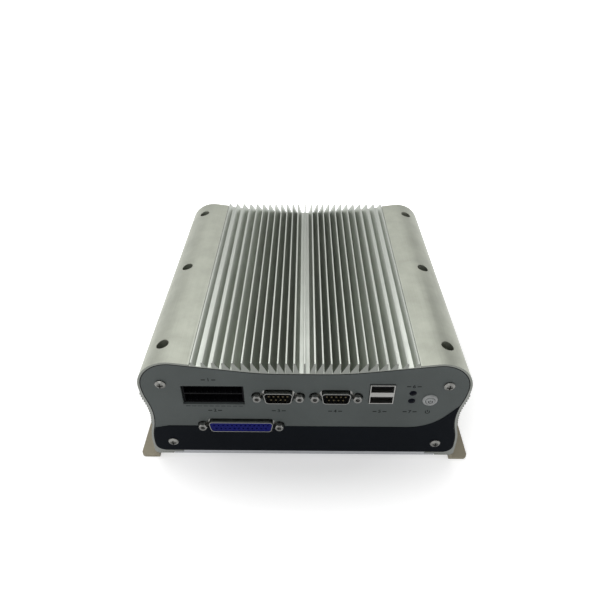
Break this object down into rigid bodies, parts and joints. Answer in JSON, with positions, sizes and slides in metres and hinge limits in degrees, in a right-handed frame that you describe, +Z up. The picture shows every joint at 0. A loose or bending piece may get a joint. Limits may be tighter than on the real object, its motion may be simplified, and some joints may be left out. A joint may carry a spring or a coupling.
{
  "type": "fanless industrial pc",
  "caption": "Low box computer with a saw-tooth finned aluminium roof, waisted ribbed sides, dark front panel with ports and flanged mounting brackets.",
  "frame": {"origin": "centre of the four bracket slots, in the plane that the brackets stand on", "axes": "+X right as seen from the front, +Y from the front panel to the rear panel, +Z up"},
  "size_m": [0.2138, 0.1976, 0.0866],
  "materials": {
    "anodised_aluminium": "satin clear-anodised extrusion",
    "tray_metal": "satin sheet",
    "bracket_paint": "beige semi-matt paint",
    "panel_paint": "dark grey semi-matt paint",
    "black_film": "black satin film",
    "connector_metal": "tin-plated steel",
    "black_plastic": "black moulding",
    "blue_plastic": "deep blue moulding",
    "gold_contact": "gold flash",
    "indicator_lens": "smoked lens",
    "button_plastic": "silver-grey button",
    "circuit_board": "green board",
    "brass_pillar": "plain brass",
    "screw_steel": "nickel-plated steel",
    "dark_screw": "black-oxide steel"
  },
  "bodies": {
    "case": {"top_heatsink": "anodised_aluminium", "side_wall_left": "anodised_aluminium", "side_wall_right": "anodised_aluminium", "bottom_tray": "tray_metal", "mounting_bracket_left": "bracket_paint", "mounting_bracket_right": "bracket_paint", "front_panel": "panel_paint", "front_label": "black_film", "rear_panel": "panel_paint", "serial_port_left_shell": "connector_metal", "serial_port_left_insulator": "black_plastic", "serial_port_left_pins": "gold_contact", "serial_port_right_shell": "connector_metal", "serial_port_right_insulator": "black_plastic", "serial_port_right_pins": "gold_contact", "parallel_port_shell": "connector_metal", "parallel_port_insulator": "blue_plastic", "video_port_shell": "connector_metal", "video_port_insulator": "blue_plastic", "terminal_header": "black_plastic", "terminal_pins": "connector_metal", "usb_shell_front": "connector_metal", "usb_tongues_front": "black_plastic", "usb_shell_rear": "connector_metal", "usb_tongues_rear": "black_plastic", "indicator_upper": "indicator_lens", "indicator_lower": "indicator_lens", "indicator_holder": "black_plastic", "power_button_bezel": "button_plastic", "power_switch_body": "black_plastic", "network_jack_1": "connector_metal", "network_jack_2": "connector_metal", "audio_jacks": "black_plastic", "power_inlet": "black_plastic", "main_board": "circuit_board", "port_board": "circuit_board", "main_board_standoffs": "brass_pillar", "port_board_standoffs": "brass_pillar", "board_screws": "screw_steel", "processor": "black_plastic", "heat_spreader": "anodised_aluminium", "memory_socket": "black_plastic", "memory_module": "circuit_board", "coin_cell_holder": "black_plastic", "coin_cell": "screw_steel", "drive_carrier": "tray_metal", "storage_drive": "tray_metal", "filter_capacitors": "black_plastic", "panel_screws": "screw_steel", "heatsink_screws": "dark_screw", "tray_screws": "screw_steel", "bracket_screws": "screw_steel", "jackscrews": "screw_steel"},
    "power_button": {"power_button_cap": "button_plastic"}
  },
  "joints": [
    {"name": "power_button_press", "type": "slide", "parent": "case", "child": "power_button", "axis": [0, 1, 0], "range_m": [0, 0.0008], "stiffness_N_per_m": 1500}
  ]
}
